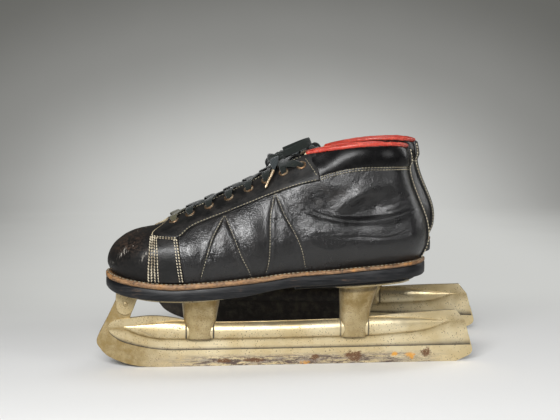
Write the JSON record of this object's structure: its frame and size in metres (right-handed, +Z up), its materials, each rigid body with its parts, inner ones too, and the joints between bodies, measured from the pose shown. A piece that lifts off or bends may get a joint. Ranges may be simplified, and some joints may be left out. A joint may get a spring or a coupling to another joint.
{
  "type": "pair of speed skates",
  "caption": "Pair of lace-up leather ankle boots on hollow steel tube frames, each with a long thin straight runner.",
  "frame": {"origin": "on the ice, below the middle of the pair's bounding box", "axes": "+Z up; +X towards the heels, along the left runner; -Y towards the left skate's outer side"},
  "size_m": [0.396, 0.3114, 0.2123],
  "materials": {
    "frame_plating": "worn nickel plating, satin, pitted",
    "runner_steel": "ground steel with rust spots",
    "black_leather": "polished, creased, semi-gloss",
    "sole_edge": "black edge dressing, satin",
    "welt_leather": "bare tan leather, dirty",
    "insole_leather": "bare, worn",
    "red_binding": "glossy red, cracked",
    "lace_cotton": "flat woven cotton",
    "aglet_metal": "worn"
  },
  "bodies": {
    "left_skate": {"left_runner": "runner_steel", "left_blade_tube": "frame_plating", "left_front_cup": "frame_plating", "left_rear_cup": "frame_plating", "left_front_sole_plate": "frame_plating", "left_heel_plate": "frame_plating", "left_heel_lift": "sole_edge", "left_outsole": "sole_edge", "left_welt": "welt_leather", "left_insole": "insole_leather", "left_toe_cap": "black_leather", "left_lateral_quarter": "black_leather", "left_medial_quarter": "black_leather", "left_lateral_eyestay": "black_leather", "left_medial_eyestay": "black_leather", "left_lateral_toe_strap": "black_leather", "left_medial_toe_strap": "black_leather", "left_collar": "black_leather", "left_collar_binding": "red_binding", "left_backstay": "black_leather", "left_heel_counter": "insole_leather", "left_lace": "lace_cotton", "left_lace_knot": "lace_cotton", "left_lateral_lace_loop": "lace_cotton", "left_medial_lace_loop": "lace_cotton", "left_lateral_lace_end": "lace_cotton", "left_medial_lace_end": "lace_cotton", "left_lateral_aglet": "aglet_metal", "left_medial_aglet": "aglet_metal"},
    "left_tongue_flap": {"left_tongue": "black_leather"},
    "right_skate": {"right_runner": "runner_steel", "right_blade_tube": "frame_plating", "right_front_cup": "frame_plating", "right_rear_cup": "frame_plating", "right_front_sole_plate": "frame_plating", "right_heel_plate": "frame_plating", "right_heel_lift": "sole_edge", "right_outsole": "sole_edge", "right_welt": "welt_leather", "right_insole": "insole_leather", "right_toe_cap": "black_leather", "right_lateral_quarter": "black_leather", "right_medial_quarter": "black_leather", "right_lateral_eyestay": "black_leather", "right_medial_eyestay": "black_leather", "right_lateral_toe_strap": "black_leather", "right_medial_toe_strap": "black_leather", "right_collar": "black_leather", "right_collar_binding": "red_binding", "right_backstay": "black_leather", "right_heel_counter": "insole_leather", "right_lace": "lace_cotton", "right_lace_knot": "lace_cotton", "right_lateral_lace_loop": "lace_cotton", "right_medial_lace_loop": "lace_cotton", "right_lateral_lace_end": "lace_cotton", "right_medial_lace_end": "lace_cotton", "right_lateral_aglet": "aglet_metal", "right_medial_aglet": "aglet_metal"},
    "right_tongue_flap": {"right_tongue": "black_leather"}
  },
  "joints": [
    {"name": "left_tongue_flex", "type": "hinge", "parent": "left_skate", "child": "left_tongue_flap", "pos_m": [-0.1342, -0.1057, 0.128], "axis": [0, 1, 0], "range_deg": [0, 8], "stiffness_Nm_per_rad": 0.8},
    {"name": "right_skate_glide", "type": "slide", "parent": "left_skate", "child": "right_skate", "axis": [-0.9703, 0.2419, 0], "range_m": [-0.06, 0.06]},
    {"name": "right_tongue_flex", "type": "hinge", "parent": "right_skate", "child": "right_tongue_flap", "pos_m": [-0.0856, 0.1069, 0.128], "axis": [0.2419, 0.9703, 0], "range_deg": [0, 8], "stiffness_Nm_per_rad": 0.8}
  ]
}
